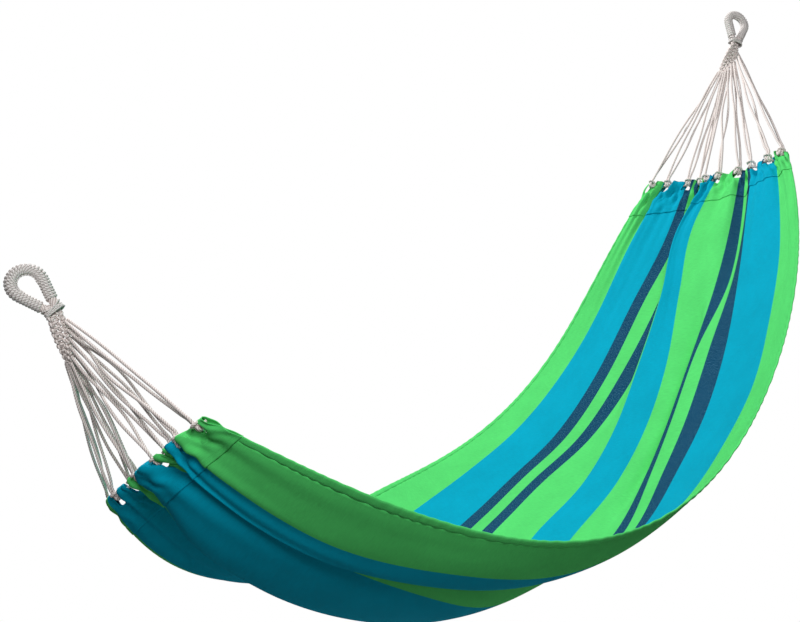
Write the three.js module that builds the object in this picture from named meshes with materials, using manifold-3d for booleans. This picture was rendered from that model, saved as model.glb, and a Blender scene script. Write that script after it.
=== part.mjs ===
// A cotton hammock hung by two whipped rope eyes. Millimetres, +Z up.
// Origin: where the foot hook bears inside the foot eye. +X runs from the foot end to the head end,
// -Y is the near side and +Y the far side. The head hook stands higher than the foot hook.
import * as THREE from "three";
import { mergeVertices } from "three/addons/utils/BufferGeometryUtils.js";
import Module from "manifold-3d";

const wasm = await Module();
wasm.setup();

// ---- Driving dimensions ----
const CLOTH_WIDTH = 1090;
const CLOTH_LENGTH = 2000;
const CLOTH_THICK = 5;
const GAP = 0.3;
const LOOPS = 10;

// The hanging cloth, at five stations from the foot hem to the head hem.
const SPINE_X = [140, 485, 915, 1303, 1669];
const SPINE_Z = [-385, -693, -660, -342, 127];
const HALF_ANGLE = [20, 31, 32, 17, 20]; // degrees that each half of the cross-section bends up
const GATHER = [0.5, 0.96, 0.99, 0.8, 0.35]; // width along the arc over the flat width
const LEAN = [-15, 2, 9, 6, 21]; // degrees that the cross-section leans, far side up

const TUNNEL_DEPTH = 75;
const TUNNEL_THICK = 12;
const SIDE_HEM_WIDTH = 16;
const SIDE_HEM_THICK = 9;
const DRAW_CORD_INSET = 10; // from the fold of the tunnel to the middle of the draw cord
const DRAW_CORD_RADIUS = 3;
const DRAW_CORD_REACH = 0.985; // share of the half width that the draw cord reaches
const NOTCH_WIDTH = 20;
const NOTCH_DEPTH = 27;
const LOOP_REACH = 0.93; // how far out the outermost loops are, as a share of half the width

const CORD_RADIUS = 3;
const CORE_RADIUS = 8;
const WRAP_RADIUS = 11.5;
const EYE_BEND_RADIUS = 27.5; // to the middle of the core
const EYE_LENGTH = 100; // neck to outer tip
const LEG_SPREAD = 8.3; // half the distance between the two legs of the eye at the neck
const WRAP_START = 12; // how far up each leg the whipping starts
const STEM_TOP = 3; // above the neck, inside the two legs
const STEM_BOTTOM = 11; // below the neck
const LASHING_DROP = 1.5; // from the neck to the top of the lashing
const LASHING_HEIGHT = 9;
const LASHING_THICK = 4;
const YOKE_DROP = 23; // from the neck to the top of the yoke, so that the yoke can swing
const YOKE_LENGTH = 85;
const YOKE_WIDTH = 33;
const YOKE_THICK = 11;
const YOKE_TURN = 20; // degrees from the clew's centre line towards the far side
const SIDE_EXITS = 5; // cords that leave the yoke at one edge; the others leave at its end
const FIRST_EXIT = 6; // from the top of the yoke to the first cord at its edge
const LAST_EXIT = 71;
const END_EXIT_PITCH = 6.3;
const LEG_OFFSET = 3.2; // half the distance between the two legs of a cord at the yoke
const FAN_REACH = 0.9; // the fan's side runs between the draw cord's places this far out
const CHANNEL_REACH = 1.05; // a tunnel's channel is cut out past both sides of the cloth

const ENDS = {
  foot: { eyeLean: -36, seat: new THREE.Vector3(0, 0, 0), hemAt: 0 },
  head: { eyeLean: 24, seat: new THREE.Vector3(1907, 0, 598), hemAt: 1 },
};

const FINISH = {
  cotton: { color: 0xe9e2d6, roughness: 0.9, metalness: 0 },
  lashing: { color: 0xf1ece2, roughness: 0.88, metalness: 0 },
  cloth: { color: 0x1f9fc4, roughness: 0.92, metalness: 0 },
  hem: { color: 0x6fe084, roughness: 0.92, metalness: 0 },
};

const hammock = new THREE.Group();

function add(name, geometry, finish) {
  const mesh = new THREE.Mesh(geometry, new THREE.MeshStandardMaterial(FINISH[finish]));
  mesh.name = name;
  hammock.add(mesh);
}

// ---- Solids: joining and cutting ----
function bare(geometry) {
  const copy = geometry.clone();
  copy.deleteAttribute("normal");
  copy.deleteAttribute("uv");
  return mergeVertices(copy, 1e-3);
}

function toSolid(geometry) {
  const merged = bare(geometry);
  const vertProperties = new Float32Array(merged.attributes.position.array);
  const triVerts = new Uint32Array(merged.index.array);
  return new wasm.Manifold(new wasm.Mesh({ numProp: 3, vertProperties, triVerts }));
}

function toGeometry(solid) {
  const mesh = solid.getMesh();
  const geometry = new THREE.BufferGeometry();
  geometry.setAttribute("position", new THREE.BufferAttribute(mesh.vertProperties, 3));
  geometry.setIndex(new THREE.BufferAttribute(mesh.triVerts, 1));
  geometry.computeVertexNormals();
  return geometry;
}

// ---- Curves and tubes ----
// A route whose steps are the given points, so a straight stretch has few and a bend has many.
class Route extends THREE.Curve {
  constructor(points) {
    super();
    this.points = points;
  }

  getUtoTmapping(u) {
    return u;
  }

  getPoint(t) {
    const last = this.points.length - 1;
    const place = THREE.MathUtils.clamp(t, 0, 1) * last;
    const i = Math.min(Math.floor(place), last - 1);
    return this.points[i].clone().lerp(this.points[i + 1], place - i);
  }

  getTangent(t) {
    const last = this.points.length - 1;
    const i = Math.round(t * last);
    const before = this.points[Math.max(i - 1, 0)];
    const after = this.points[Math.min(i + 1, last)];
    return after.clone().sub(before).normalize();
  }
}

function circle(radius, sides) {
  const corner = (i) => {
    const angle = (2 * Math.PI * i) / sides;
    return new THREE.Vector2(radius * Math.cos(angle), radius * Math.sin(angle));
  };
  return Array.from({ length: sides }, (_, i) => corner(i));
}

function tube(points, radius, sides, hollow = 0) {
  const section = new THREE.Shape(circle(radius, sides));
  if (hollow > 0) section.holes.push(new THREE.Path(circle(hollow, sides).reverse()));
  const extrudePath = new Route(points);
  return new THREE.ExtrudeGeometry(section, { steps: points.length - 1, extrudePath });
}

// ---- The hanging cloth ----
// The smooth curve through five evenly spaced stations, at u from 0 to 1.
function through(stations, u) {
  const place = u * (stations.length - 1);
  let sum = 0;
  stations.forEach((value, i) => {
    let weight = 1;
    stations.forEach((_, j) => {
      if (j !== i) weight *= (place - j) / (i - j);
    });
    sum += weight * value;
  });
  return sum;
}

// A point of the cloth's middle surface: u from the foot hem to the head hem, v from -1 at the near
// side to 1 at the far side.
function clothPoint(u, v) {
  const step = 1e-4;
  const slopeX = through(SPINE_X, u + step) - through(SPINE_X, u - step);
  const slopeZ = through(SPINE_Z, u + step) - through(SPINE_Z, u - step);
  const along = Math.hypot(slopeX, slopeZ);
  const bend = THREE.MathUtils.degToRad(through(HALF_ANGLE, u));
  const lean = THREE.MathUtils.degToRad(through(LEAN, u));
  const radius = ((CLOTH_WIDTH / 2) * through(GATHER, u)) / bend;
  const across = radius * Math.sin(bend * v);
  const rise = radius * (1 - Math.cos(bend * v));
  const y = across * Math.cos(lean) - rise * Math.sin(lean);
  const up = across * Math.sin(lean) + rise * Math.cos(lean);
  return new THREE.Vector3(
    through(SPINE_X, u) - (slopeZ / along) * up,
    y,
    through(SPINE_Z, u) + (slopeX / along) * up,
  );
}

// Directions at a point of the cloth: along it, across it and up out of its upper face.
function clothFrame(u, v) {
  const step = 1e-3;
  const along = clothPoint(u + step, v).sub(clothPoint(u - step, v)).normalize();
  const across = clothPoint(u, v + step).sub(clothPoint(u, v - step)).normalize();
  const up = along.clone().cross(across).normalize();
  return { along, across, up };
}

// A closed slab of cloth between two places along it and two across it.
function clothSlab(u0, u1, v0, v1, thick, stepsAlong, stepsAcross) {
  const slab = new THREE.BoxGeometry(1, 1, 1, stepsAlong, stepsAcross, 1);
  const place = slab.attributes.position;
  const corner = new THREE.Vector3();
  for (let i = 0; i < place.count; i += 1) {
    corner.fromBufferAttribute(place, i);
    const u = THREE.MathUtils.lerp(u0, u1, corner.x + 0.5);
    const v = THREE.MathUtils.lerp(v0, v1, corner.y + 0.5);
    const spot = clothPoint(u, v).addScaledVector(clothFrame(u, v).up, corner.z * thick);
    place.setXYZ(i, spot.x, spot.y, spot.z);
  }
  return slab;
}

// The tunnel's depth and the clearance, as shares of the cloth's length.
const hemU = TUNNEL_DEPTH / CLOTH_LENGTH;
const gapU = GAP / CLOTH_LENGTH;
const sideV = 1 - SIDE_HEM_WIDTH / (CLOTH_WIDTH / 2);
const gapV = (2 * GAP) / CLOTH_WIDTH / Math.min(...GATHER);

function addBed() {
  const inner = hemU + 2 * gapU;
  add("bed_cloth", clothSlab(inner, 1 - inner, -sideV, sideV, CLOTH_THICK, 28, 14), "cloth");
  const edge = sideV + 2 * gapV;
  add("near_side_hem", clothSlab(inner, 1 - inner, -1, -edge, SIDE_HEM_THICK, 28, 1), "hem");
  add("far_side_hem", clothSlab(inner, 1 - inner, edge, 1, SIDE_HEM_THICK, 28, 1), "hem");
}

// ---- One end of the hammock ----
// u at a distance in from the fold of this end's tunnel.
function inFromFold(end, distance) {
  const share = distance / CLOTH_LENGTH;
  return end.hemAt === 0 ? share : 1 - share;
}

function loopPlace(i) {
  return THREE.MathUtils.lerp(-LOOP_REACH, LOOP_REACH, i / (LOOPS - 1));
}

function drawCordPoint(end, v) {
  return clothPoint(inFromFold(end, DRAW_CORD_INSET), v);
}

// The eye and the clew share these directions: the eye's axis, the clew's axis, the direction across
// the fan towards the near side, and the normal of the fan.
function endFrame(end) {
  const lean = THREE.MathUtils.degToRad(end.eyeLean);
  const eyeAxis = new THREE.Vector3(Math.sin(lean), 0, Math.cos(lean));
  const tipBelow = EYE_LENGTH - 2 * WRAP_RADIUS;
  const neck = end.seat.clone().addScaledVector(eyeAxis, -tipBelow);
  const down = drawCordPoint(end, 0).sub(neck).normalize();
  const near = drawCordPoint(end, -FAN_REACH).sub(drawCordPoint(end, FAN_REACH));
  near.addScaledVector(down, -near.dot(down)).normalize();
  const out = down.clone().cross(near).normalize();
  return { eyeAxis, neck, down, near, out };
}

function basis(x, y, z, place) {
  return new THREE.Matrix4().makeBasis(x, y, z).setPosition(place);
}

// The middle line of the eye in its own plane: up one leg, round the bend and down the other leg.
function eyeLine(start) {
  const centre = EYE_LENGTH - WRAP_RADIUS - EYE_BEND_RADIUS;
  const reach = Math.hypot(LEG_SPREAD, centre);
  const tilt = Math.asin(EYE_BEND_RADIUS / reach) - Math.atan2(LEG_SPREAD, centre);
  const foot = new THREE.Vector2(LEG_SPREAD, 0);
  const leg = new THREE.Vector2(Math.sin(tilt), Math.cos(tilt));
  const points = [];
  const legLength = Math.sqrt(reach ** 2 - EYE_BEND_RADIUS ** 2);
  const legSteps = 3;
  for (let i = 0; i < legSteps; i += 1) {
    const along = THREE.MathUtils.lerp(start, legLength, i / legSteps);
    points.push(foot.clone().addScaledVector(leg, along));
  }
  const bendSteps = 12;
  const first = -tilt;
  const last = Math.PI + tilt;
  for (let i = 0; i <= bendSteps; i += 1) {
    const angle = THREE.MathUtils.lerp(first, last, i / bendSteps);
    const x = EYE_BEND_RADIUS * Math.cos(angle);
    points.push(new THREE.Vector2(x, centre + EYE_BEND_RADIUS * Math.sin(angle)));
  }
  for (let i = legSteps - 1; i >= 0; i -= 1) {
    points.push(new THREE.Vector2(-points[i].x, points[i].y));
  }
  return points.map((p) => new THREE.Vector3(p.x, 0, p.y));
}

// The outline round both legs at the neck, grown outwards by a margin.
function neckOutline(grow) {
  const shape = new THREE.Shape();
  const radius = CORE_RADIUS + grow;
  shape.absarc(LEG_SPREAD, 0, radius, -Math.PI / 2, Math.PI / 2);
  shape.absarc(-LEG_SPREAD, 0, radius, Math.PI / 2, (3 * Math.PI) / 2);
  return shape;
}

function addEye(label, frame) {
  const across = new THREE.Vector3(0, 1, 0).cross(frame.eyeAxis);
  const placed = basis(across, new THREE.Vector3(0, 1, 0), frame.eyeAxis, frame.neck);
  const loop = tube(eyeLine(0), CORE_RADIUS, 12);
  const stem = new THREE.ExtrudeGeometry(neckOutline(0), {
    depth: STEM_TOP + STEM_BOTTOM,
    bevelEnabled: false,
    curveSegments: 8,
  });
  stem.translate(0, 0, -STEM_BOTTOM);
  const core = toGeometry(toSolid(loop).add(toSolid(stem)));
  add(`${label}_eye_core`, core.applyMatrix4(placed), "cotton");
  const wrap = tube(eyeLine(WRAP_START), WRAP_RADIUS, 12, CORE_RADIUS + GAP);
  add(`${label}_eye_whipping`, wrap.applyMatrix4(placed), "cotton");
  const ring = neckOutline(LASHING_THICK);
  ring.holes.push(new THREE.Path(neckOutline(GAP).getPoints(8).reverse()));
  const lashing = new THREE.ExtrudeGeometry(ring, {
    depth: LASHING_HEIGHT,
    bevelEnabled: false,
    curveSegments: 8,
  });
  lashing.translate(0, 0, -LASHING_DROP - LASHING_HEIGHT);
  add(`${label}_neck_lashing`, lashing.applyMatrix4(placed), "lashing");
}

// The yoke's directions so far down it. It starts flat in the eye's plane and turns by a quarter
// until it lies flat in the fan.
function yokeDirections(frame, downYoke) {
  const turn = THREE.MathUtils.degToRad(YOKE_TURN);
  const axis = frame.down.clone().multiplyScalar(Math.cos(turn));
  axis.addScaledVector(frame.near, -Math.sin(turn));
  const side = frame.near.clone().multiplyScalar(Math.cos(turn));
  side.addScaledVector(frame.down, Math.sin(turn));
  const twist = (Math.PI / 2) * THREE.MathUtils.clamp(downYoke / YOKE_LENGTH, 0, 1);
  const wide = side.clone().multiplyScalar(Math.sin(twist));
  wide.addScaledVector(frame.out, -Math.cos(twist));
  const thick = side.clone().multiplyScalar(Math.cos(twist));
  thick.addScaledVector(frame.out, Math.sin(twist));
  return { axis, wide, thick, twist };
}

// A place on the yoke: so far down it, across its width and through its thickness.
function onYoke(frame, downYoke, acrossWidth, throughThickness) {
  const { axis, wide, thick } = yokeDirections(frame, downYoke);
  const place = frame.neck.clone().addScaledVector(frame.down, YOKE_DROP);
  place.addScaledVector(axis, downYoke).addScaledVector(wide, acrossWidth);
  return place.addScaledVector(thick, throughThickness);
}

function addYoke(label, frame) {
  const steps = 10;
  const yoke = new THREE.BoxGeometry(YOKE_LENGTH, YOKE_WIDTH, YOKE_THICK, steps, 2, 1);
  const place = yoke.attributes.position;
  const corner = new THREE.Vector3();
  for (let i = 0; i < place.count; i += 1) {
    corner.fromBufferAttribute(place, i);
    const spot = onYoke(frame, corner.x + YOKE_LENGTH / 2, corner.y, corner.z);
    place.setXYZ(i, spot.x, spot.y, spot.z);
  }
  add(`${label}_woven_yoke`, yoke, "cotton");
}

// Where cord i leaves the yoke: the near cords at one edge, the far ones side by side at its end.
function cordExit(frame, i) {
  if (i < SIDE_EXITS) {
    const downYoke = THREE.MathUtils.lerp(FIRST_EXIT, LAST_EXIT, i / (SIDE_EXITS - 1));
    const { twist } = yokeDirections(frame, downYoke);
    const clear = CORD_RADIUS + GAP + LEG_OFFSET * Math.cos(twist);
    return onYoke(frame, downYoke, YOKE_WIDTH / 2 + clear, 0);
  }
  const middle = (SIDE_EXITS + LOOPS - 1) / 2;
  return onYoke(frame, YOKE_LENGTH + CORD_RADIUS, (middle - i) * END_EXIT_PITCH, 0);
}

// A doubled cord: down in front, round the draw cord in its notch, and back up behind.
function clewCordLine(end, frame, i) {
  const exit = cordExit(frame, i);
  const v = loopPlace(i);
  const hitch = drawCordPoint(end, v);
  const { across } = clothFrame(inFromFold(end, DRAW_CORD_INSET), v);
  const toExit = exit.clone().sub(hitch);
  toExit.addScaledVector(across, -toExit.dot(across)).normalize();
  const front = across.clone().cross(toExit);
  if (front.dot(frame.out) < 0) front.negate();
  const bend = DRAW_CORD_RADIUS + CORD_RADIUS + 2 * GAP;
  const legSteps = 2;
  const bendSteps = 6;
  const leg = (sign) =>
    Array.from({ length: legSteps }, (_, k) => {
      const top = exit.clone().addScaledVector(frame.out, sign * LEG_OFFSET);
      const bottom = hitch.clone().addScaledVector(front, sign * bend);
      return top.lerp(bottom, k / legSteps);
    });
  const around = Array.from({ length: bendSteps + 1 }, (_, k) => {
    const angle = (Math.PI * k) / bendSteps;
    const spot = hitch.clone().addScaledVector(front, bend * Math.cos(angle));
    return spot.addScaledVector(toExit, -bend * Math.sin(angle));
  });
  return [...leg(1), ...around, ...leg(-1).reverse()];
}

function addClew(label, end, frame) {
  for (let i = 0; i < LOOPS; i += 1) {
    const number = String(i + 1).padStart(2, "0");
    add(`${label}_clew_cord_${number}`, tube(clewCordLine(end, frame, i), CORD_RADIUS, 8), "cotton");
  }
}

function drawCordLine(end, reach, steps) {
  return Array.from({ length: steps + 1 }, (_, k) =>
    drawCordPoint(end, THREE.MathUtils.lerp(-reach, reach, k / steps)),
  );
}

function addTunnel(label, end) {
  const fold = inFromFold(end, 0);
  const inner = inFromFold(end, TUNNEL_DEPTH);
  const low = Math.min(fold, inner);
  const high = Math.max(fold, inner);
  const steps = 20;
  const slab = clothSlab(low, high, -1, 1, TUNNEL_THICK, 2, steps);
  let hem = toSolid(slab);
  const channel = tube(drawCordLine(end, CHANNEL_REACH, steps), DRAW_CORD_RADIUS + 2 * GAP, 8);
  hem = hem.subtract(toSolid(channel));
  for (let i = 0; i < LOOPS; i += 1) {
    const v = loopPlace(i);
    const { along, across, up } = clothFrame(inFromFold(end, DRAW_CORD_INSET), v);
    const notch = new THREE.BoxGeometry(2 * NOTCH_DEPTH, NOTCH_WIDTH, 4 * TUNNEL_THICK);
    notch.applyMatrix4(basis(along, across, up, clothPoint(fold, v)));
    hem = hem.subtract(toSolid(notch));
  }
  add(`${label}_end_tunnel`, toGeometry(hem), "hem");
  add(`${label}_draw_cord`, tube(drawCordLine(end, DRAW_CORD_REACH, steps), DRAW_CORD_RADIUS, 8), "cotton");
}

for (const [label, end] of Object.entries(ENDS)) {
  const frame = endFrame(end);
  addEye(label, frame);
  addYoke(label, frame);
  addClew(label, end, frame);
  addTunnel(label, end);
}
addBed();

export default hammock;
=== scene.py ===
# %% [markdown]
# # A striped cotton hammock on rope eyes
# The hammock hangs between two hooks that aren't modelled. Metres, +Z up. The frame's origin is where
# the foot hook bears inside the foot eye, +X runs to the head end and -Y is the near side.
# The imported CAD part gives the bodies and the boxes; everything that shows is built here around them.

import math

import bmesh
import bpy
import numpy as np
from mathutils import Matrix, Vector


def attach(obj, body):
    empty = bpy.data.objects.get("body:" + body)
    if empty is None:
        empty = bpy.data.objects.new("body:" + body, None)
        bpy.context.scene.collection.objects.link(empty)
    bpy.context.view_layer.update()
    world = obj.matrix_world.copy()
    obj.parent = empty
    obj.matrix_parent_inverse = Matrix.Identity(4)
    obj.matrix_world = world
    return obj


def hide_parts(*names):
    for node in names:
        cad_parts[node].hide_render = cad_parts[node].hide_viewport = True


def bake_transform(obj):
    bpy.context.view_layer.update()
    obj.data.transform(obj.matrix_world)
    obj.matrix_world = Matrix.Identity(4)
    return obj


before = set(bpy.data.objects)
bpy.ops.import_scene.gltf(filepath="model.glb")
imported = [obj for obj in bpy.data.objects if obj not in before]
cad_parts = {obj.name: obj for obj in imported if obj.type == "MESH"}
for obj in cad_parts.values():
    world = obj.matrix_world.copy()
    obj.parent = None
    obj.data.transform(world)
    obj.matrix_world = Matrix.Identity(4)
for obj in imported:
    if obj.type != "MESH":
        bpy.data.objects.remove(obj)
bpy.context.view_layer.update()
scene = bpy.context.scene

# %% [markdown]
# ## The camera
# It stands near the foot end on the near side, a little below the hooks, and looks up and along the
# hammock. It is rolled, so the line from hook to hook climbs across the view. Its place, turn and lens
# come from a fit made beforehand, and so do the sling's stations and most of the stripe edges below.

# %% Camera
CAMERA_PLACE = Vector((0.030, -1.578, -0.547))
CAMERA_TURN, CAMERA_TILT, CAMERA_ROLL = (math.radians(a) for a in (66.66, 13.353, -11.973))
CAMERA_LENS = 38.3


def camera_matrix():
    """The camera's place and turn: it looks along the turn and tilt, and then rolls."""
    flat = Vector((math.cos(CAMERA_TURN), math.sin(CAMERA_TURN), 0.0))
    look = flat * math.cos(CAMERA_TILT) + Vector((0, 0, math.sin(CAMERA_TILT)))
    right = look.cross(Vector((0, 0, 1))).normalized()
    top = right.cross(look)
    across = right * math.cos(CAMERA_ROLL) + top * math.sin(CAMERA_ROLL)
    upwards = top * math.cos(CAMERA_ROLL) - right * math.sin(CAMERA_ROLL)
    return Matrix.Translation(CAMERA_PLACE) @ Matrix((across, upwards, -look)).transposed().to_4x4()


camera = bpy.data.objects.new("camera", bpy.data.cameras.new("camera"))
scene.collection.objects.link(camera)
camera.data.sensor_width = 36.0
camera.data.lens = CAMERA_LENS
camera.data.clip_end = 50.0
camera.matrix_world = camera_matrix()
scene.camera = camera
print("camera at", tuple(round(x, 3) for x in camera.location))

# %% [markdown]
# ## Making pieces
# Every piece starts as a bmesh grid whose points are then put in place by a formula. A cord is such a
# grid rolled round its route, with three strands laid in a twist, as three-ply cotton is.

# %% Grids and joined pieces
UV_NAME = "flat"


def shaped(name, columns, rows, place, closed=False, cut=None):
    """A mesh of columns by rows faces. place turns the two shares, 0 to 1, into points and UV pairs.
    cut says which faces to leave out, from the shares of their middles."""
    grid = bmesh.new()
    bmesh.ops.create_grid(grid, x_segments=columns, y_segments=rows, size=1.0)
    if cut is not None:
        middles = np.array([f.calc_center_median()[:2] for f in grid.faces]) / 2 + 0.5
        gone = cut(middles[:, 0], middles[:, 1])
        doomed = [f for f, out in zip(list(grid.faces), gone) if out]
        bmesh.ops.delete(grid, geom=doomed, context="FACES")
    mesh = bpy.data.meshes.new(name)
    grid.to_mesh(mesh)
    grid.free()
    shares = np.zeros(len(mesh.vertices) * 3)
    mesh.vertices.foreach_get("co", shares)
    shares = shares.reshape(-1, 3) / 2 + 0.5
    points, flat = place(shares[:, 0], shares[:, 1])
    mesh.vertices.foreach_set("co", np.ascontiguousarray(points, np.float32).ravel())
    corner = np.zeros(len(mesh.loops), np.int32)
    mesh.loops.foreach_get("vertex_index", corner)
    layer = mesh.uv_layers.new(name=UV_NAME)
    layer.data.foreach_set("uv", np.ascontiguousarray(flat[corner], np.float32).ravel())
    if closed:
        tube = bmesh.new()
        tube.from_mesh(mesh)
        bmesh.ops.remove_doubles(tube, verts=tube.verts, dist=1e-6)
        rims = [e for e in tube.edges if e.is_boundary]
        bmesh.ops.holes_fill(tube, edges=rims, sides=0)
        bmesh.ops.recalc_face_normals(tube, faces=tube.faces)
        tube.to_mesh(mesh)
        tube.free()
    return mesh


def piece(name, meshes, look):
    """One object from one or more meshes, with one material and smooth faces."""
    whole = bmesh.new()
    for mesh in meshes:
        whole.from_mesh(mesh)
        bpy.data.meshes.remove(mesh)
    made = bpy.data.meshes.new(name)
    whole.to_mesh(made)
    whole.free()
    made.polygons.foreach_set("use_smooth", [True] * len(made.polygons))
    made.materials.append(look)
    obj = bpy.data.objects.new(name, made)
    scene.collection.objects.link(obj)
    return obj


# %% Routes and cords
def unit(v):
    return v / np.maximum(np.linalg.norm(v, axis=-1, keepdims=True), 1e-12)


def smooth_route(points, step):
    """Evenly spaced places on the smooth curve through the points."""
    p = np.array(points, float)
    gap = np.linalg.norm(np.diff(p, axis=0), axis=1)
    place = np.r_[0.0, np.cumsum(gap)]
    slope = np.gradient(p, place, axis=0)
    spots = np.linspace(0, place[-1], max(3, int(place[-1] / step) + 1))
    i = np.clip(np.searchsorted(place, spots, side="right") - 1, 0, len(p) - 2)
    h = gap[i][:, None]
    t = (spots[:, None] - place[i][:, None]) / h
    start = (1 + 2 * t) * (1 - t) ** 2 * p[i] + t * (1 - t) ** 2 * h * slope[i]
    return start + t * t * (3 - 2 * t) * p[i + 1] + t * t * (t - 1) * h * slope[i + 1]


def length_of(route):
    return float(np.linalg.norm(np.diff(route, axis=0), axis=1).sum())


def frames_along(route):
    """Two directions across the route at each of its points, carried along without turning."""
    heading = unit(np.gradient(route, axis=0))
    side = np.zeros_like(route)
    first = np.cross(heading[0], (0.31, 0.77, 0.55))
    side[0] = first / np.linalg.norm(first)
    for i in range(1, len(route)):
        carried = side[i - 1] - heading[i] * (side[i - 1] @ heading[i])
        side[i] = carried / np.linalg.norm(carried)
    return side, np.cross(heading, side)


def cord_mesh(name, route, radius, strands=3, lay=0.016, sides=12, groove=0.28):
    """A laid cord along a route: strands twisted round each other, one turn in each lay length."""
    side, over = frames_along(route)
    run = np.r_[0.0, np.cumsum(np.linalg.norm(np.diff(route, axis=0), axis=1))]
    last = len(route) - 1

    def place(a, b):
        i = np.rint(b * last).astype(int)
        angle = a * 2 * math.pi
        phase = strands * (angle - 2 * math.pi * run[i] / lay)
        out = radius * (1 - groove * np.abs(np.sin(phase / 2)) ** 3)
        ring = side[i] * np.cos(angle)[:, None] + over[i] * np.sin(angle)[:, None]
        twist = a - run[i] / lay
        return route[i] + ring * out[:, None], np.stack([twist * strands, run[i]], -1)

    return shaped(name, sides, last, place, closed=True)


# %% [markdown]
# ## The hanging cloth
# The sling was cut 1.09 m wide and 2.0 m long. Five stations from the foot hem to the head hem carry
# its middle line, how far the cross-section bends up, how far the draw cords gather it, and its lean.
# The gathered width has to go somewhere: it goes into long folds that start at the hems and die out
# towards the bed, and into short puckers between the cords.

# %% Cloth dimensions
WIDTH, LENGTH = 1.09, 2.0
SPINE_X = (0.140, 0.485, 0.915, 1.303, 1.669)
SPINE_Z = (-0.385, -0.693, -0.660, -0.342, 0.127)
HALF_ANGLE = tuple(math.radians(a) for a in (20, 31, 32, 17, 20))
GATHER = (0.5, 0.96, 0.99, 0.8, 0.35)
LEAN = tuple(math.radians(a) for a in (-15, 2, 9, 6, 21))
TUNNEL_DEPTH = 0.075
SIDE_HEM = 0.016
CLOTH_THICK = 0.0012
CORD_INSET = 0.010
LOOPS = 10
LOOP_REACH = 0.93
FAN_REACH = 0.9
DRAW_REACH = 0.985
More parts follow.
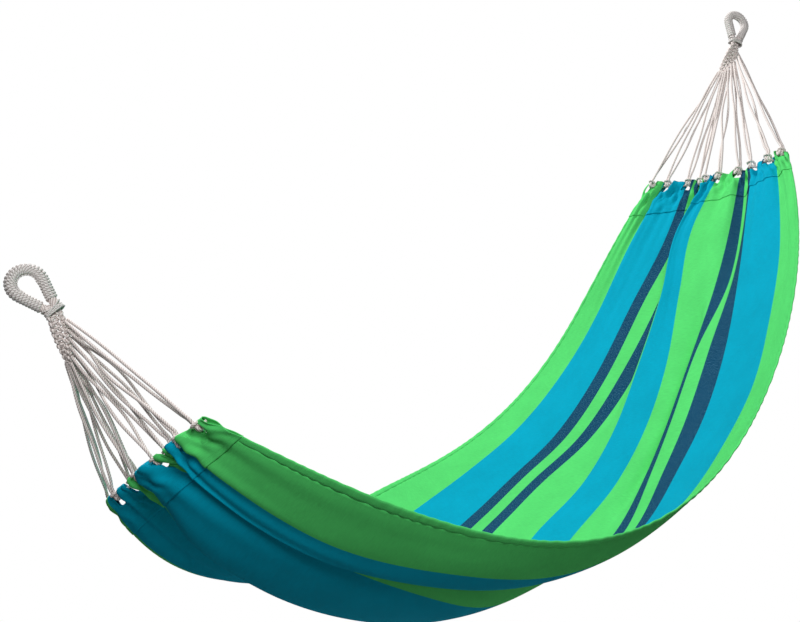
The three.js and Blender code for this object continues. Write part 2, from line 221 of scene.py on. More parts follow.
# The folds, as cross-sections at stations along the sling. Each pin says that a place across the flat
# cloth (from -1 at the near side) lies at a place across the sling, and how many millimetres it stands
# above it. Where the second number goes back, the cloth laps over itself. Many of the places across,
# most of all towards the head, were measured and rounded; the heights were judged.
PLEATS = (
    (0.00, (-1, -1, 0), (-0.784, -0.75, 0), (-0.62, -0.65, -3), (-0.45, -0.57, 4), (-0.28, -0.48, 5),
     (-0.103, -0.39, -1), (0.103, -0.10, -3), (0.3, 0.04, 12), (0.5, 0.17, 12), (0.784, 0.46, -8),
     (1, 1, 0)),
    (0.035, (-1, -1, 0), (-0.784, -0.71, -4), (-0.63, -0.585, -6), (-0.44, -0.66, 18), (-0.25, -0.66, 22),
     (-0.103, -0.56, 4), (0, -0.36, -10), (0.103, -0.17, -6), (0.3, -0.03, 34), (0.5, 0.12, 38),
     (0.784, 0.48, -12), (1, 1, 0)),
    (0.07, (-1, -1, 0), (-0.784, -0.70, -4), (-0.63, -0.575, -6), (-0.44, -0.70, 26), (-0.25, -0.71, 30),
     (-0.103, -0.60, 8), (0, -0.38, -12), (0.103, -0.15, -15), (0.2, -0.20, 20), (0.33, -0.11, 52),
     (0.5, 0.12, 50), (0.65, 0.36, 18), (0.784, 0.54, -10), (1, 1, 0)),
    (0.15, (-1, -1, 0), (-0.784, -0.71, -6), (-0.63, -0.60, -6), (-0.44, -0.70, 28), (-0.25, -0.70, 32),
     (-0.12, -0.60, 8), (0, -0.40, -12), (0.103, -0.14, -16), (0.2, -0.19, 20), (0.33, -0.08, 52),
     (0.5, 0.16, 46), (0.65, 0.42, 14), (0.784, 0.64, -6), (1, 1, 0)),
    (0.28, (-1, -1, 0), (-0.784, -0.81, -6), (-0.70, -0.715, -4), (-0.5, -0.71, 30), (-0.27, -0.64, 34),
     (-0.12, -0.55, 6), (0, -0.38, -10), (0.103, -0.16, -12), (0.2, -0.13, 8), (0.3, 0.00, 24),
     (0.5, 0.31, 10), (0.784, 0.76, 0), (1, 1, 0)),
    (0.41, (-1, -1, 0), (-0.784, -0.79, 0), (-0.6, -0.65, 8), (-0.3, -0.44, 14), (-0.103, -0.27, 0),
     (0.103, -0.03, -4), (0.45, 0.38, 0), (1, 1, 0)),
    (0.52, (-1, -1, 0), (-0.25, -0.26, -3), (0, 0, 0), (1, 1, 0)),
    (0.60, (-1, -1, 0), (-0.521, -0.50, 0), (-0.393, -0.35, 8), (-0.32, -0.275, -4), (-0.26, -0.235, -18),
     (-0.18, -0.185, -6), (-0.103, -0.13, 0), (0.103, 0.09, 0), (0.329, 0.34, 0), (1, 1, 0)),
    (0.67, (-1, -1, 0), (-0.784, -0.83, 0), (-0.521, -0.52, 0), (-0.393, -0.33, 12), (-0.33, -0.265, 0),
     (-0.25, -0.235, -28), (-0.17, -0.19, -10), (-0.103, -0.12, 0), (0.103, 0.09, 6), (0.2, 0.16, 0),
     (0.329, 0.27, -10), (0.393, 0.34, -6), (0.521, 0.49, 0), (0.784, 0.78, 0), (1, 1, 0)),
    (0.75, (-1, -1, 0), (-0.784, -0.83, 0), (-0.521, -0.53, 0), (-0.393, -0.33, 10), (-0.33, -0.27, 2),
     (-0.25, -0.23, -28), (-0.18, -0.17, -10), (-0.103, -0.08, 2), (0.103, 0.12, 12), (0.18, 0.15, 4),
     (0.28, 0.17, -16), (0.329, 0.20, -16), (0.393, 0.29, -8), (0.521, 0.47, 0), (0.784, 0.78, 0),
     (1, 1, 0)),
    (0.85, (-1, -1, 0), (-0.784, -0.85, 0), (-0.521, -0.52, 2), (-0.457, -0.44, -8), (-0.4, -0.37, -20),
     (-0.33, -0.29, -4), (-0.2, -0.13, 6), (-0.103, 0.01, 8), (0.103, 0.145, 16), (0.15, 0.165, 10),
     (0.24, 0.12, -8), (0.32, 0.13, -20), (0.37, 0.20, -16), (0.457, 0.36, -4), (0.521, 0.46, 0),
     (0.784, 0.78, 0), (1, 1, 0)),
    (0.93, (-1, -1, 0), (-0.784, -0.83, 0), (-0.521, -0.51, 4), (-0.457, -0.42, -14), (-0.4, -0.37, -20),
     (-0.33, -0.30, -6), (-0.2, -0.12, 6), (-0.103, 0.07, 10), (0.08, 0.22, 16), (0.13, 0.24, 10),
     (0.22, 0.14, -6), (0.32, 0.13, -18), (0.38, 0.21, -16), (0.457, 0.29, -8), (0.521, 0.40, -2),
     (0.784, 0.80, 0), (1, 1, 0)),
    (1.00, (-1, -1, 0), (-0.784, -0.81, 0), (-0.521, -0.52, 0), (-0.42, -0.40, -4), (-0.3, -0.28, 0),
     (-0.103, -0.02, 3), (0.103, 0.14, 4), (0.3, 0.25, -3), (0.5, 0.41, -2), (0.784, 0.79, 0), (1, 1, 0)),
)


# %% The smooth sling and its folds
def through(stations, u):
    """The smooth curve through evenly spaced stations."""
    place = np.asarray(u, float) * (len(stations) - 1)
    total = np.zeros_like(place)
    for i, value in enumerate(stations):
        weight = np.ones_like(place)
        for j in range(len(stations)):
            if j != i:
                weight = weight * (place - j) / (i - j)
        total = total + weight * value
    return total


def sling_point(u, v):
    """A point of the smooth sling: u along it from the foot, v across it from the near side."""
    step = 1e-4
    slope_x = through(SPINE_X, u + step) - through(SPINE_X, u - step)
    slope_z = through(SPINE_Z, u + step) - through(SPINE_Z, u - step)
    along = np.hypot(slope_x, slope_z)
    bend, lean = through(HALF_ANGLE, u), through(LEAN, u)
    radius = WIDTH / 2 * through(GATHER, u) / bend
    across, rise = radius * np.sin(bend * v), radius * (1 - np.cos(bend * v))
    y = across * np.cos(lean) - rise * np.sin(lean)
    up = across * np.sin(lean) + rise * np.cos(lean)
    x = through(SPINE_X, u) - slope_z / along * up
    return np.stack([x, y, through(SPINE_Z, u) + slope_x / along * up], -1)


def upward(point, u, v, step):
    """The unit normal out of the upper face of a surface that is a function of u and v."""
    along = point(u + step, v) - point(u - step, v)
    across = point(u, v + step) - point(u, v - step)
    return unit(np.cross(along, across))


def ease(t):
    t = np.clip(t, 0, 1)
    return t * t * (3 - 2 * t)


def through_pins(pins, s):
    """The smooth curve through one station's pins: places across the sling, and heights in metres."""
    p = np.array(pins, float)
    slope = np.gradient(p[:, 1:], p[:, 0], axis=0)
    i = np.clip(np.searchsorted(p[:, 0], s, side="right") - 1, 0, len(p) - 2)
    h = (p[i + 1, 0] - p[i, 0])[..., None]
    t = (s[..., None] - p[i, 0][..., None]) / h
    start = (1 + 2 * t) * (1 - t) ** 2 * p[i, 1:] + t * (1 - t) ** 2 * h * slope[i]
    value = start + t * t * (3 - 2 * t) * p[i + 1, 1:] + t * t * (t - 1) * h * slope[i + 1]
    return value * np.array((1.0, 0.001))


def fold_shape(u, s):
    """Where the pleats put a place of the flat cloth: its place across the sling, and its height."""
    stations = np.array([station[0] for station in PLEATS])
    shape = np.stack([through_pins(station[1:], s) for station in PLEATS])
    j = np.clip(np.searchsorted(stations, u, side="right") - 1, 0, len(stations) - 2)
    t = ((u - stations[j]) / (stations[j + 1] - stations[j]))[..., None]
    slopes = np.gradient(shape, stations, axis=0)
    h = (stations[j + 1] - stations[j])[..., None]

    def pick(table, k):
        return np.take_along_axis(table, k[None, ..., None], 0)[0]

    value = (1 + 2 * t) * (1 - t) ** 2 * pick(shape, j) + t * (1 - t) ** 2 * h * pick(slopes, j)
    value = value + t * t * (3 - 2 * t) * pick(shape, j + 1)
    value = value + t * t * (t - 1) * h * pick(slopes, j + 1)
    return value[..., 0], value[..., 1]


def pucker(u, s):
    """Short gathers that start at each hem between the cords."""
    hem = np.minimum(u, 1 - u) * LENGTH
    bunch = np.cos(math.pi * LOOPS * (s - 0.1)) * 0.0060
    fine = 0.0022 * np.sin(47 * s + 2.1 * np.sin(9 * s + 5 * u)) + 0.0014 * np.sin(83 * s + 1.3)
    slow = 0.004 * np.sin(5.3 * s + 6.1 * u + 0.4) * np.sin(9.7 * u + 1.9 * s)
    return bunch * np.exp(-hem / 0.11) + fine * np.exp(-hem / 0.2) + slow * ease(hem / 0.3)


def cloth_point(u, s, lift=0.0):
    """A point of the folded cloth: s is the share across the flat cloth, lift is out of its face."""
    u, s = np.broadcast_arrays(np.asarray(u, float), np.asarray(s, float))
    across, height = fold_shape(u, s)
    across = np.clip(across, -1, 1)
    rise = height + pucker(u, s)
    spot = sling_point(u, across) + upward(sling_point, u, across, 1e-3) * rise[..., None]
    if np.isscalar(lift) and lift == 0.0:
        return spot
    return spot + upward(cloth_point, u, s, 1.5e-3) * np.asarray(lift)[..., None]


for edge in (-1.0, 0.0, 1.0):
    line = cloth_point(np.linspace(0, 1, 200), np.full(200, edge))
    print("cloth line at", edge, "is", round(length_of(line), 3), "m long")

# %% [markdown]
# ## Ends, seen from the hook
# Each end has an eye leaning on its hook, a neck, and a clew: the fan of doubled cords. The yoke is the
# flat braid down the far side of the clew, which binds the cords together below the neck.

# %% End directions
EYE_LEAN = {"foot": math.radians(-36), "head": math.radians(24)}
SEAT = {"foot": np.array((0.0, 0.0, 0.0)), "head": np.array((1.907, 0.0, 0.598))}
CORE_R, WRAP_R, BEND_R, LEG_SPREAD = 0.008, 0.0115, 0.0275, 0.0083
EYE_LENGTH, WRAP_START = 0.100, 0.012
CORD_R, DRAW_R = 0.003, 0.003
YOKE_DROP, YOKE_LENGTH, YOKE_HALF, YOKE_TURN = 0.023, 0.085, 0.0165, math.radians(20)
ENDS = ("foot", "head")


def inwards_u(end, distance):
    """u at a distance in from the fold of an end's tunnel."""
    share = distance / LENGTH
    return share if end == "foot" else 1 - share


def loop_place(i):
    return LOOP_REACH * (2 * i / (LOOPS - 1) - 1)


def smooth_hem(end, v):
    return sling_point(np.array(inwards_u(end, CORD_INSET)), np.array(v))


def end_frame(end):
    """The eye's axis, the neck, and the clew's three directions: down, towards the near side, out."""
    axis = np.array((math.sin(EYE_LEAN[end]), 0.0, math.cos(EYE_LEAN[end])))
    neck = SEAT[end] - axis * (EYE_LENGTH - 2 * WRAP_R)
    down = unit(smooth_hem(end, 0.0) - neck)
    near = smooth_hem(end, -FAN_REACH) - smooth_hem(end, FAN_REACH)
    near = unit(near - down * (near @ down))
    return {"axis": axis, "neck": neck, "down": down, "near": near, "out": np.cross(down, near)}


def on_yoke(f, down_yoke, across_width, through=0.0):
    """A place on the yoke, which is flat in the eye's plane at its top and in the fan at its end."""
    axis = f["down"] * math.cos(YOKE_TURN) - f["near"] * math.sin(YOKE_TURN)
    side = f["near"] * math.cos(YOKE_TURN) + f["down"] * math.sin(YOKE_TURN)
    twist = math.pi / 2 * min(max(down_yoke / YOKE_LENGTH, 0.0), 1.0)
    wide = side * math.sin(twist) - f["out"] * math.cos(twist)
    thick = side * math.cos(twist) + f["out"] * math.sin(twist)
    top = f["neck"] + f["down"] * YOKE_DROP
    return top + axis * down_yoke + wide * across_width + thick * through


END = {end: end_frame(end) for end in ENDS}

# %% [markdown]
# ## Materials
# A short class lets a pattern be written as a formula. The cloth is a plain weave of dyed yarn, so its
# stripes run along the warp and show on both faces. The navy warp is crossed by a pale weft, which
# shows as flecks. The cords are undyed cotton.


# %% Shader formulas
class Value:
    """A number or colour in a material; arithmetic on it makes Math nodes."""

    def __init__(self, look, socket):
        self.look, self.socket = look, socket

    def math(self, operation, other=0.0, third=0.0):
        settings = {"operation": operation}
        return self.look.node("ShaderNodeMath", settings, {0: self, 1: other, 2: third})

    def __add__(self, other):
        return self.math("ADD", other)

    def __mul__(self, other):
        return self.math("MULTIPLY", other)

    def __sub__(self, other):
        return self.math("SUBTRACT", other)

    def __rsub__(self, other):
        return self * -1.0 + other

    def __truediv__(self, other):
        return self.math("DIVIDE", other)

    __radd__, __rmul__ = __add__, __mul__


class Look:
    """A material with one Principled shader, and node() to make whatever feeds it."""

    def __init__(self, name, **settings):
        self.material = bpy.data.materials.new(name)
        self.material.use_nodes = True
        self.tree = self.material.node_tree
        self.shader = self.tree.nodes["Principled BSDF"]
        self.give(self.shader, settings)

    def give(self, node, values):
        for key, value in values.items():
            socket = node.inputs[key]
            if isinstance(value, Value):
                self.tree.links.new(value.socket, socket)
            elif isinstance(value, tuple) and len(socket.default_value) == 4:
                socket.default_value = (*value[:3], 1.0)
            else:
                socket.default_value = value

    def node(self, kind, settings=None, values=None, output=0):
        made = self.tree.nodes.new(kind)
        for key, value in (settings or {}).items():
            setattr(made, key, value)
        self.give(made, values or {})
        return Value(self, made.outputs[output])

    def set(self, **values):
        self.give(self.shader, {key.replace("_", " "): value for key, value in values.items()})

    def mix(self, share, a, b):
        return self.node("ShaderNodeMix", {"data_type": "RGBA"}, {0: share, 6: a, 7: b}, 2)

    def flat(self):
        """The two coordinates of the piece's own UV map."""
        uv = self.node("ShaderNodeUVMap", {"uv_map": UV_NAME})
        return [self.node("ShaderNodeSeparateXYZ", {}, {0: uv}, axis) for axis in (0, 1)]

    def noise(self, scale, detail=2.0, stretch=(1.0, 1.0, 1.0), source="object"):
        if source == "object":
            place = self.node("ShaderNodeTexCoord", {}, {}, 3)
        else:
            place = self.node("ShaderNodeUVMap", {"uv_map": UV_NAME})
        scaled = self.node("ShaderNodeVectorMath", {"operation": "MULTIPLY"}, {0: place, 1: stretch})
        return self.node("ShaderNodeTexNoise", {}, {"Vector": scaled, "Scale": scale, "Detail": detail})

    def bump(self, height, strength, distance):
        values = {"Strength": strength, "Distance": distance, "Height": height}
        self.set(Normal=self.node("ShaderNodeBump", {}, values))


# %% Cloth, tunnel and hem materials
LIME, TURQUOISE, NAVY = (0.085, 0.60, 0.145), (0.0, 0.32, 0.47), (0.002, 0.045, 0.105)
FLECK = (0.12, 0.34, 0.46)
# Stripes out from the middle: where each starts, as a share of half the width.
STRIPES = (
    (0.0, TURQUOISE),
    (0.103, LIME),
    (0.329, NAVY),
    (0.393, LIME),
    (0.457, NAVY),
    (0.521, TURQUOISE),
    (0.784, LIME),
)
NAVY_BAND = 0.064
YARN = 0.0011
STITCH = 0.004


def striped_cloth(name, seam_axis=None, seam_places=()):
    """Woven stripes. seam_places are stitch lines at those places on one of the flat axes; painted shade
    darkens the sunken line of each seam.
    """
    look = Look(name, Roughness=0.92)
    across, along = look.flat()
    frayed = (look.noise(900.0, 1.0, source="flat") - 0.5) * 0.0016
    out = (across.math("ABSOLUTE") + frayed) / (WIDTH / 2)
    colour, navy = STRIPES[0][1], None
    for starts, tint in STRIPES[1:]:
        inside = out.math("GREATER_THAN", starts)
        colour = look.mix(inside, colour, tint)
        if tint is NAVY:
            navy = inside - out.math("GREATER_THAN", starts + NAVY_BAND) + (navy or 0.0)
    fleck = look.noise(1.0, 1.0, (1700.0, 420.0, 1.0), "flat").math("SMOOTH_MAX", 0.5, 0.02)
    fleck = ((fleck - 0.56) * 6.0).math("MINIMUM", 1.0).math("MAXIMUM", 0.0)
    colour = look.mix(fleck * navy * 0.8, colour, FLECK)
    slub = look.noise(1.0, 2.0, (60.0, 700.0, 1.0), "flat")
    cloud = look.noise(14.0, 3.0, source="flat")
    shade = (slub - 0.5) * 0.34 + (cloud - 0.5) * 0.22 + 1.0
    warp = (across * (2 * math.pi / YARN)).math("SINE")
    weft = (along * (2 * math.pi / YARN)).math("SINE")
    height = warp * weft * 0.25 + slub * 0.9 + look.noise(60.0, 3.0, source="flat") * 1.5
    for place in seam_places:
        beside = (across if seam_axis == "across" else along).math("ABSOLUTE") - place
        run = along if seam_axis == "across" else across
        line = (beside.math("ABSOLUTE") * -900.0 + 1.0).math("MAXIMUM", 0.0)
        trench = (beside.math("ABSOLUTE") * -600.0 + 1.0).math("MAXIMUM", 0.0)
        dash = (run * (2 * math.pi / STITCH)).math("SINE").math("GREATER_THAN", -0.5)
        # Painted shade along the sunken seam line (the trench); the lighter dashes are the stitch thread.
        shade = shade * (trench * -0.18 + 1.0) * (line * dash * 0.3 + 1.0)
        height = height + line * dash * 1.2 - trench * 0.8
    tinted = look.node("ShaderNodeVectorMath", {"operation": "SCALE"}, {0: colour, "Scale": shade})
    look.set(Base_Color=tinted, Roughness=(slub * 0.16 + 0.84))
    look.give(look.shader, {"Specular IOR Level": 0.05})
    look.bump(height, 0.55, 0.0006)
    return look.material


def cotton(name, tint, dark, wear=0.25):
    """Undyed cotton cord: lighter on the strands and darker in the grooves, which is painted shade, with
    fibres along the lay.
    """
    look = Look(name, Roughness=0.9)
    turn, run = look.flat()
    # Painted shade: the colour goes towards the dark tint in the grooves between the strands.
    groove = (turn * (2 * math.pi)).math("COSINE") * -0.5 + 0.5
    groove = groove * groove * groove
    fibre = look.noise(1.0, 2.0, (2.2, 900.0, 1.0), "flat")
    dirt = look.noise(22.0, 3.0)
    share = groove * 0.8 + (dirt - 0.35).math("MAXIMUM", 0.0) * wear + (fibre - 0.5) * 0.5
    share = share.math("MAXIMUM", 0.0).math("MINIMUM", 1.0)
    look.set(Base_Color=look.mix(share, tint, dark))
    look.give(look.shader, {"Sheen Weight": 0.2, "Sheen Roughness": 0.6})
    look.bump(fibre + look.noise(700.0, 2.0) * 0.8, 0.7, 0.0005)
    return look.material


BED_LOOK = striped_cloth("striped_cloth")
TUNNEL_LOOK = striped_cloth("tunnel_cloth", "along", (0.066, 0.0705))
HEM_LOOK = striped_cloth("side_hem_cloth", "across", (WIDTH / 2 - SIDE_HEM + 0.0025,))
# Each cotton's second colour is the painted shade of its grooves; its random dirt and darker fibres share
# it.
CORD_LOOK = cotton("clew_cotton", (0.88, 0.81, 0.78), (0.28, 0.20, 0.18))
WHIP_LOOK = cotton("whipping_cotton", (0.88, 0.84, 0.82), (0.30, 0.26, 0.24), 0.2)
LASH_LOOK = cotton("lashing_cotton", (0.88, 0.84, 0.82), (0.32, 0.28, 0.26), 0.2)

# %% [markdown]
# ## The clew cords
# Each of the ten doubled cords leaves the yoke, runs down to the hem, and is hitched round the draw
# cord with a cow hitch: both legs pass in front of the draw cord, under it and up behind, and the
# bight crosses in front of them. The two legs turn lightly round each other on the way.

# %% Draw cords
HITCH = (
    (2.6, 15.0, 5.6),
    (2.6, 6.0, 5.7),
    (2.7, 0.0, 5.3),
    (3.0, -3.8, 3.8),
    (3.4, -5.3, 0.0),
    (4.2, -3.8, -3.8),
    (5.2, 0.0, -5.3),
    (6.4, 3.8, -4.0),
    (7.2, 6.0, -0.5),
    (7.3, 7.2, 4.0),
    (6.0, 7.7, 8.2),
    (3.5, 7.7, 10.0),
    (0.0, 7.7, 10.3),
)


def hem_point(end, s, distance=CORD_INSET):
    u = np.full(np.shape(s), inwards_u(end, distance))
    return cloth_point(u, np.asarray(s, float))


draw_routes = {}
for end in ENDS:
    route = smooth_route(hem_point(end, np.linspace(-DRAW_REACH, DRAW_REACH, 90)), 0.003)
    draw_routes[end] = route
    name = f"{end}_draw_cord_look"
    draw = piece(name, [cord_mesh(name, route, DRAW_R, lay=0.019)], CORD_LOOK)
    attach(draw, "sling")
    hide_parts(f"{end}_draw_cord")
    print(end, "draw cord", round(length_of(route), 3), "m")

# %% Clew cords
SIDE_EXITS = 5
END_PITCH = 0.0063
LEG_OFFSET = 0.0032
TWISTS = (0, 1, 0, -1, 1, 0, 1, -1, 0, 1)


def cord_exit(f, i):
    """Where a doubled cord leaves the yoke, a little inside its edge, and the way back into it."""
    if i < SIDE_EXITS:
        share = i / (SIDE_EXITS - 1)
        down_yoke = 0.006 + 0.065 * share
        return on_yoke(f, down_yoke, YOKE_HALF - 0.002)
    middle = (SIDE_EXITS + LOOPS - 1) / 2
    return on_yoke(f, YOKE_LENGTH - 0.003, (middle - i) * END_PITCH)


def clew_route(end, i):
    f = END[end]
    s = loop_place(i)
    hitch = hem_point(end, s)
    across = unit(hem_point(end, s + 0.01) - hem_point(end, s - 0.01))
    top = cord_exit(f, i)
    to_top = top - hitch
    to_top = unit(to_top - across * (to_top @ across))
    front = np.cross(across, to_top)
    if front @ f["out"] < 0:
        front, across = -front, -across
    knot = [hitch + (across * -x + to_top * y + front * z) * 0.001 for x, y, z in HITCH]
    other = [hitch + (across * x + to_top * y + front * z) * 0.001 for x, y, z in HITCH[-2::-1]]
    middle = hitch + to_top * 0.015 + front * 0.0056
    line = middle - top
    seed = np.sin(12.9 * (i + 1) + (3.7 if end == "head" else 0.0))
    handed = 1 if TWISTS[i] % 2 == 0 else -1
    steps = 14

    def leg(sign):
        points = []
        for k in range(steps):
            t = k / steps
            angle = (math.pi / 2 + math.pi * TWISTS[i]) * t
            wide = LEG_OFFSET + (0.0030 + 0.0020 * seed) * math.sin(math.pi * t)
            drift = 0.0024 * math.sin(9 * t + 5 * seed + 1.6 * sign) * math.sin(math.pi * t)
            turned = f["out"] * math.cos(angle) - across * math.sin(angle) * handed
            points.append(top + line * t + turned * wide * sign + across * drift)
        return points

    return smooth_route([*leg(1), *knot, *other, *leg(-1)[::-1]], 0.0026)


for end in ENDS:
    for i in range(LOOPS):
        route = clew_route(end, i)
        name = f"{end}_clew_cord_look_{i + 1:02d}"
        cord = piece(name, [cord_mesh(name, route, CORD_R)], CORD_LOOK)
        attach(cord, "sling")
        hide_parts(f"{end}_clew_cord_{i + 1:02d}")
        print(name, round(length_of(route), 3), "m")

# %% [markdown]
# ## The bed of the hammock
# One woven width, tapered by its gathers. It is a single sheet with a real thickness, so its selvedge
# shows. The tunnels and side hems are the same cloth turned over and sewn, and are pieces on it.

# %% Bed cloth
side_share = 1 - SIDE_HEM / (WIDTH / 2)
tunnel_share = TUNNEL_DEPTH / LENGTH


def bed_place(a, b):
    s = (2 * a - 1) * (side_share + 0.006)
    u = tunnel_share - 0.002 + (1 - 2 * (tunnel_share - 0.002)) * b
    return cloth_point(u, s), np.stack([s * WIDTH / 2, u * LENGTH], -1)


bed = piece("bed_cloth_look", [shaped("bed", 158, 286, bed_place)], BED_LOOK)
thick = bed.modifiers.new("thickness", "SOLIDIFY")
thick.thickness = CLOTH_THICK
thick.offset = 0.0
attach(bed, "sling")
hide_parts("bed_cloth")

# %% Side hems
HEM_SIDES = 12
HEM_HALF_THICK = 0.0017


def hem_strip(name, sign):
    """The edge turned over twice: a flat roll along one side of the bed."""

    def place(a, b):
        angle = a * 2 * math.pi
        square = np.maximum(np.abs(np.cos(angle)), np.abs(np.sin(angle)))
        wide = np.cos(angle) / square**0.75
        tall = np.sin(angle) / square**0.5
        inset = SIDE_HEM / 2 * (1 - wide * 0.98)
        s = sign * (1 - inset / (WIDTH / 2))
        u = tunnel_share - 0.001 + (1 - 2 * (tunnel_share - 0.001)) * b
        ripple = 0.00045 * np.sin(u * LENGTH * 240 + 3 * np.sin(u * 61))
        points = cloth_point(u, s, tall * HEM_HALF_THICK + ripple)
        return points, np.stack([s * WIDTH / 2, u * LENGTH], -1)

    return shaped(name, HEM_SIDES, 420, place, closed=True)


for label, sign in (("near", -1), ("far", 1)):
    hem = piece(f"{label}_side_hem_look", [hem_strip(label, sign)], HEM_LOOK)
    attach(hem, "sling")
    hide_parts(f"{label}_side_hem")

# %% End tunnels
NOTCH_HALF, NOTCH_DEPTH, NOTCH_CORNER = 0.0100, 0.027, 0.005
TUNNEL_ROUND = 0.0052


def metres_per_s(end, s):
    """Metres along the hem for one unit of s, near s."""
    ahead, behind = hem_point(end, np.asarray(s) + 0.01), hem_point(end, np.asarray(s) - 0.01)
    return np.linalg.norm(ahead - behind, axis=-1) / 0.02


def tunnel_strip(end):
    """The end turned over and sewn, with the draw cord inside and a notch cut for each cord."""
    places = np.array([loop_place(i) for i in range(LOOPS)])
    scales = np.maximum(metres_per_s(end, places), NOTCH_HALF / 0.088)
    depth_all = TUNNEL_DEPTH + 0.001

    def unfold(b):
        around = (2 * b - 1) * depth_all
        return np.abs(around), np.sign(around)

    def beside_notch(s):
        """How far a place is from the middle of the nearest notch, in metres, and the scale there."""
        nearest = np.argmin(np.abs(s[:, None] - places), 1)
        return (s - places[nearest]) * scales[nearest], scales[nearest]

    def outside(beside, depth):
        """Metres outside the notch's rounded outline, and the direction away from it."""
        x = np.maximum(np.abs(beside) - (NOTCH_HALF - NOTCH_CORNER), 0)
        y = np.maximum(depth - (NOTCH_DEPTH - NOTCH_CORNER), 0)
        far = np.maximum(np.hypot(x, y), 1e-9)
        return far - NOTCH_CORNER, x / far * np.sign(beside), y / far

    def cut(a, b):
        return outside(beside_notch(2 * a - 1)[0], unfold(b)[0])[0] < 0

    def place(a, b):
        s, (depth, face) = 2 * a - 1, unfold(b)
        beside, scale = beside_notch(s)
        off, away_s, away_depth = outside(beside, depth)
        snap = off < 0.0012
        s = np.where(snap, s - off * away_s / scale, s)
        depth = np.where(snap, depth - off * away_depth, depth)
        half = 0.0016 + 0.0040 * np.exp(-(((depth - CORD_INSET) / 0.017) ** 2))
        rounded = np.sqrt(np.clip(1 - (1 - depth / TUNNEL_ROUND) ** 2, 0, 1))
        half = np.where(depth < TUNNEL_ROUND, half * rounded, half)
        crease = 0.0027 * np.sin(74 * s + 2.4 * face + 95 * depth) * np.sin(31 * s + face + 40 * depth)
        crease = crease + 0.0019 * np.sin(41 * s - 150 * depth + 1.7 * face)
        fade = np.exp(-(((depth - 0.03) / 0.028) ** 2))
        lift = face * half + crease * fade
        u = inwards_u(end, depth)
        points = cloth_point(u, s, lift)
        return points, np.stack([s * WIDTH / 2, depth], -1)

    return shaped(end, 380, 64, place, cut=cut)


for end in ENDS:
    tunnel = piece(f"{end}_end_tunnel_look", [tunnel_strip(end)], TUNNEL_LOOK)
    skin = tunnel.modifiers.new("thickness", "SOLIDIFY")
    skin.thickness = 0.0009
    skin.offset = 0.0
    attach(tunnel, "sling")
    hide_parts(f"{end}_end_tunnel")

# %% [markdown]
# ## The eyes
# A bundle of cords is bent into an eye and whipped tightly with a thin cord along its whole length,
# with a line of hitches along the inside. Below it a few turns and a cross of the same cord bind the
# neck, where the bundle becomes the yoke.


# %% Eye core and whipping
def eye_place(f, x, z, y=0.0):
    """A point given in the eye's own plane: x across, z up its axis from the neck, y towards +Y."""
    across = np.cross((0.0, 1.0, 0.0), f["axis"])
    x, z, y = (np.asarray(c, float)[..., None] for c in (x, z, y))
    return f["neck"] + across * x + f["axis"] * z + np.array((0.0, 1.0, 0.0)) * y


def eye_line(start):
    """The middle line of the bundle: up one leg, round the bend and down the other."""
    centre = EYE_LENGTH - WRAP_R - BEND_R
    reach = math.hypot(LEG_SPREAD, centre)
    tilt = math.asin(BEND_R / reach) - math.atan2(LEG_SPREAD, centre)
    leg_length = math.sqrt(reach**2 - BEND_R**2)
    up = np.linspace(start, leg_length, 12, endpoint=False)
    leg_x, leg_z = LEG_SPREAD + math.sin(tilt) * up, math.cos(tilt) * up
    angle = np.linspace(-tilt, math.pi + tilt, 40)
    x = np.r_[leg_x, BEND_R * np.cos(angle), -leg_x[::-1]]
    z = np.r_[leg_z, centre + BEND_R * np.sin(angle), leg_z[::-1]]
    return np.stack([x, z], -1)


def wound(route, radius, turns, steps_per_turn=16):
    """A helix of so many turns round a route."""
    run = np.r_[0.0, np.cumsum(np.linalg.norm(np.diff(route, axis=0), axis=1))]
    count = int(turns * steps_per_turn)
    spots = np.linspace(0, run[-1], count + 1)
    middle = np.stack([np.interp(spots, run, route[:, k]) for k in range(3)], -1)
    heading = unit(np.gradient(middle, axis=0))
    flat_side = np.array((0.0, 1.0, 0.0))
    other = unit(np.cross(heading, flat_side))
    angle = (np.arange(count + 1) / steps_per_turn * 2 * math.pi)[:, None]
    return middle + radius * (flat_side * np.cos(angle) + other * np.sin(angle))


STRAND_R = 0.0028
WHIP_STRAND_R = 0.0031
RIDGE_R = 0.0019
for end in ENDS:
    f = END[end]
    body = f"{end}_eye"
    line = eye_line(-0.004)
    core_route = smooth_route(eye_place(f, line[:, 0], line[:, 1]), 0.002)
    core = piece(
        f"{end}_eye_core_look",
        [cord_mesh("core", core_route, CORE_R, strands=9, lay=0.07, sides=36, groove=0.12)],
        CORD_LOOK,
    )
    line = eye_line(WRAP_START)
    wrap_route = smooth_route(eye_place(f, line[:, 0], line[:, 1]), 0.001)
    turns = round(length_of(wrap_route) / (2 * STRAND_R))
    helix = wound(wrap_route, WRAP_R - WHIP_STRAND_R, turns, 18)
    wrap = piece(
        f"{end}_eye_whipping_look",
        [cord_mesh("wrap", helix, WHIP_STRAND_R, strands=2, lay=0.0095, sides=8, groove=0.2)],
        WHIP_LOOK,
    )
    toward = unit(eye_place(f, 0.0, EYE_LENGTH - WRAP_R - BEND_R) - wrap_route)
    ridge_route = smooth_route(wrap_route[4:-4:6] + toward[4:-4:6] * (WRAP_R - 0.0006), 0.0008)
    hitches = piece(
        f"{end}_eye_hitches_look",
        [cord_mesh("ridge", ridge_route, RIDGE_R, strands=1, lay=2 * STRAND_R, sides=8, groove=0.5)],
        WHIP_LOOK,
    )
    for obj in (core, wrap, hitches):
        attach(obj, body)
    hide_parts(f"{end}_eye_core")
    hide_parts(f"{end}_eye_whipping")
    print(end, "whipping", turns, "turns,", round(length_of(helix), 2), "m of cord")

# %% Neck lashing
LASH_R = 0.0016


def stadium(f, angle, grow, height):
    """A point on the outline round both legs at a height up the eye's axis from the neck."""
    radius = CORE_R + grow
    x = radius * np.cos(angle) + LEG_SPREAD * np.tanh(3.0 * np.cos(angle))
    return eye_place(f, x, height, radius * np.sin(angle))


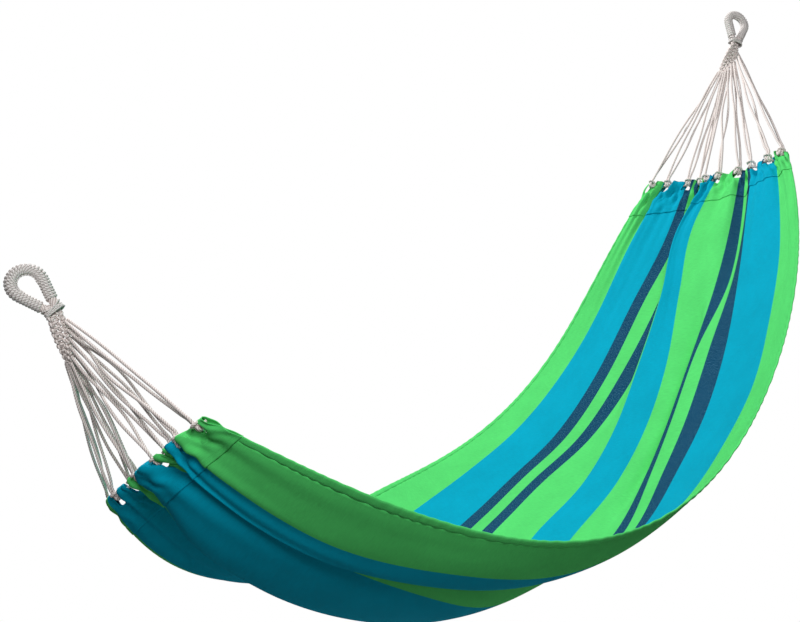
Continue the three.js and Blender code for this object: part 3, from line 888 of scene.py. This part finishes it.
for end in ENDS:
    f = END[end]
    rings = 3.2
    angle = np.linspace(0, rings * 2 * math.pi, 150)
    height = -0.0028 - angle / (2 * math.pi) * 0.0029
    turns_mesh = cord_mesh(
        "turns", smooth_route(stadium(f, angle, LASH_R + 0.0004, height), 0.0015), LASH_R, 2, 0.008, 8
    )
    crossing = []
    for sign in (1, -1):
        angle = np.linspace(0, 2 * math.pi, 80)
        tilt = sign * 0.0075 * np.cos(angle) + 0.001
        route = stadium(f, angle, LASH_R * 1.9 + 0.0005 * sign, -0.0055 + tilt)
        crossing.append(cord_mesh("cross", smooth_route(route, 0.0015), LASH_R, 2, 0.008, 8))
    lashing = piece(f"{end}_neck_lashing_look", [turns_mesh, *crossing], LASH_LOOK)
    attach(lashing, f"{end}_eye")
    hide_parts(f"{end}_neck_lashing")

# %% [markdown]
# ## The yoke
# A flat braid of five strands. It starts in the neck, under the lashing.

# %% Braided yokes
BRAID_STRANDS = 5
BRAID_WAVE = 0.052
BRAID_R = 0.0035


def braid_route(f, k):
    """One strand of the braid, weaving from edge to edge as it runs down."""
    run = np.linspace(-YOKE_DROP - 0.004, YOKE_LENGTH, 150)
    phase = run / BRAID_WAVE * 2 * math.pi + 2 * math.pi * k / BRAID_STRANDS
    half = np.interp(run, (-YOKE_DROP, 0.0, 0.02, YOKE_LENGTH), (0.0130, 0.0125, 0.0132, 0.0108))
    over = 0.0026 * np.sin((BRAID_STRANDS - 1) * phase)
    below = on_yoke(f, 0, 0)
    points = []
    for r, p, w, o in zip(run, phase, half, over):
        middle = on_yoke(f, r, 0) if r > 0 else f["neck"] + (below - f["neck"]) * (1 + r / YOKE_DROP)
        points.append(middle + on_yoke(f, r, w * math.cos(p), o) - on_yoke(f, r, 0))
    return smooth_route(points, 0.002)


for end in ENDS:
    f = END[end]
    strands = [
        cord_mesh("strand", braid_route(f, k), BRAID_R, strands=3, lay=0.02, sides=12, groove=0.24)
        for k in range(BRAID_STRANDS)
    ]
    yoke = piece(f"{end}_woven_yoke_look", strands, CORD_LOOK)
    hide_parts(f"{end}_woven_yoke")
    start, stop = f["neck"] + f["down"] * 0.006, f["neck"] + f["down"] * 0.026
    pair = (f"{end}_eye", "sling") if end == "foot" else ("sling", f"{end}_eye")
    if end == "head":
        start, stop = stop, start
    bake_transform(yoke)

# %% [markdown]
# ## Studio
# A plain white room: a pale floor that fades out at its edge, a large soft key light from above the
# far side, and a weaker fill from the camera's side, so that the underside stays dark.

# %% Floor, world and lights
FLOOR_MIDDLE, FLOOR_RADIUS = (0.9, 0.0, -1.8), 2.4
FADE_END, FADE_LENGTH = 2.2, 1.8
disc = bmesh.new()
bmesh.ops.create_circle(disc, cap_ends=True, segments=96, radius=FLOOR_RADIUS)
bmesh.ops.translate(disc, verts=disc.verts, vec=FLOOR_MIDDLE)
floor_mesh = bpy.data.meshes.new("floor")
disc.to_mesh(floor_mesh)
disc.free()
floor = bpy.data.objects.new("floor", floor_mesh)
scene.collection.objects.link(floor)
floor_look = Look("pale_floor", Roughness=0.95)
spot = floor_look.node("ShaderNodeTexCoord", {}, {}, 3)
moved = {0: spot, 1: FLOOR_MIDDLE}
away = floor_look.node("ShaderNodeVectorMath", {"operation": "DISTANCE"}, moved, 1)
fade = ((FADE_END - away) / FADE_LENGTH).math("MAXIMUM", 0.0).math("MINIMUM", 1.0)
floor_look.set(Base_Color=(0.93, 0.93, 0.93), Alpha=fade * fade)
floor_mesh.materials.append(floor_look.material)

world = bpy.data.worlds.new("studio")
scene.world = world
world.use_nodes = True
nodes, links = world.node_tree.nodes, world.node_tree.links
seen = nodes.new("ShaderNodeLightPath")
room = nodes["Background"]
room.inputs["Color"].default_value = (1.0, 1.0, 1.0, 1.0)
strength = nodes.new("ShaderNodeMath")
strength.operation = "MULTIPLY_ADD"
links.new(seen.outputs["Is Camera Ray"], strength.inputs[0])
strength.inputs[1].default_value = 0.90
strength.inputs[2].default_value = 0.10
links.new(strength.outputs[0], room.inputs["Strength"])


def area_light(name, place, target, size, power):
    lamp = bpy.data.lights.new(name, "AREA")
    lamp.shape = "DISK"
    lamp.size = size
    lamp.energy = power
    obj = bpy.data.objects.new(name, lamp)
    scene.collection.objects.link(obj)
    obj.location = place
    obj.rotation_euler = (Vector(target) - Vector(place)).to_track_quat("-Z", "Y").to_euler()


area_light("key", (0.2, 1.2, 2.8), (1.1, 0.0, -0.3), 0.7, 130.0)
area_light("fill", (0.1, -2.5, 0.7), (0.9, 0.0, -0.2), 1.4, 54.0)
scene.view_settings.view_transform = "Standard"
scene.view_settings.look = "None"
